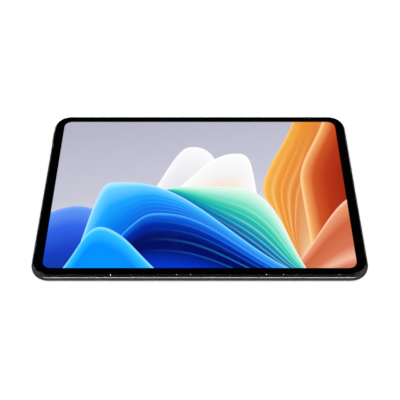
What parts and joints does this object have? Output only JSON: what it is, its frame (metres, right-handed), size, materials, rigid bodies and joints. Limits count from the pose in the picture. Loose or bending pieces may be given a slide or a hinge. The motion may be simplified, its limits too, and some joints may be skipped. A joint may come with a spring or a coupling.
{
  "type": "tablet computer",
  "caption": "Slim tablet computer with a rounded aluminium back, black-bordered cover glass over a lit display, side keys, charging socket and pull-out memory card tray.",
  "frame": {"origin": "middle of the flat outside of the back", "axes": "+X along the long side, +Y towards the long edge that holds the front camera, +Z from the back to the glass"},
  "size_m": [0.2523, 0.1837, 0.0077],
  "materials": {
    "housing_metal": "bead-blasted, anodised graphite grey",
    "key_metal": "anodised graphite grey, fine satin",
    "camera_metal": "turned, anodised graphite grey",
    "cover_glass": "polished, with rounded edges",
    "black_ink": "black print on the back of the glass",
    "display": "lit display with an abstract picture",
    "optical_film": "translucent white",
    "steel": "stamped steel and tinned screws",
    "black_plastic": "fine moulded black",
    "antenna_plastic": "moulded, matched to the housing",
    "adhesive": "black foam tape",
    "graphite": "dark grey graphite foil",
    "circuit_board": "green solder mask",
    "flex_circuit": "amber polyimide",
    "chip": "moulded black",
    "battery_pouch": "black film over aluminium foil",
    "lens_glass": "coated, dark"
  },
  "bodies": {
    "tablet_body": {"rear_housing": "housing_metal", "camera_ring": "camera_metal", "cover_glass": "cover_glass", "bezel_print": "black_ink", "lcd_panel": "display", "optical_films": "optical_film", "light_guide": "optical_film", "led_strip": "optical_film", "backlight_tray": "steel", "processor_shield": "steel", "power_shield": "steel", "wireless_shield": "steel", "usb_c_shell": "steel", "card_reader": "steel", "power_switch": "steel", "power_bracket": "steel", "volume_bracket": "steel", "microphone_1": "steel", "microphone_2": "steel", "board_screw_1": "steel", "board_screw_2": "steel", "board_screw_3": "steel", "board_screw_4": "steel", "usb_screw_1": "steel", "usb_screw_2": "steel", "power_bracket_screw": "steel", "volume_bracket_screw": "steel", "speaker_mesh_1": "steel", "speaker_mesh_2": "steel", "speaker_mesh_3": "steel", "speaker_mesh_4": "steel", "display_frame": "black_plastic", "usb_c_tongue": "black_plastic", "speaker_1": "black_plastic", "speaker_2": "black_plastic", "speaker_3": "black_plastic", "speaker_4": "black_plastic", "antenna_window_left": "antenna_plastic", "antenna_window_right": "antenna_plastic", "display_adhesive": "adhesive", "heat_spreader": "graphite", "main_board": "circuit_board", "usb_board": "circuit_board", "battery_board": "circuit_board", "display_driver_board": "circuit_board", "main_flex": "flex_circuit", "display_flex": "flex_circuit", "volume_switches": "flex_circuit", "processor": "chip", "storage_chip": "chip", "power_chip": "chip", "wireless_chip": "chip", "front_camera": "chip", "rear_camera": "chip", "battery_cell_left": "battery_pouch", "battery_cell_right": "battery_pouch", "camera_window": "lens_glass"},
    "power_button": {"power_button": "key_metal"},
    "volume_rocker": {"volume_rocker": "key_metal"},
    "card_tray": {"card_tray": "key_metal"}
  },
  "joints": [
    {"name": "power_press", "type": "slide", "parent": "tablet_body", "child": "power_button", "axis": [1, 0, 0], "range_m": [0, 0.0003], "stiffness_N_per_m": 2000, "springref_m": -0.0005},
    {"name": "volume_rock", "type": "hinge", "parent": "tablet_body", "child": "volume_rocker", "pos_m": [-0.092, 0.0884, 0.00275], "axis": [0, 0, 1], "range_deg": [-1.2, 1.2], "stiffness_Nm_per_rad": 0.6},
    {"name": "tray_slide", "type": "slide", "parent": "tablet_body", "child": "card_tray", "axis": [0, 1, 0], "range_m": [0, 0.018]}
  ]
}
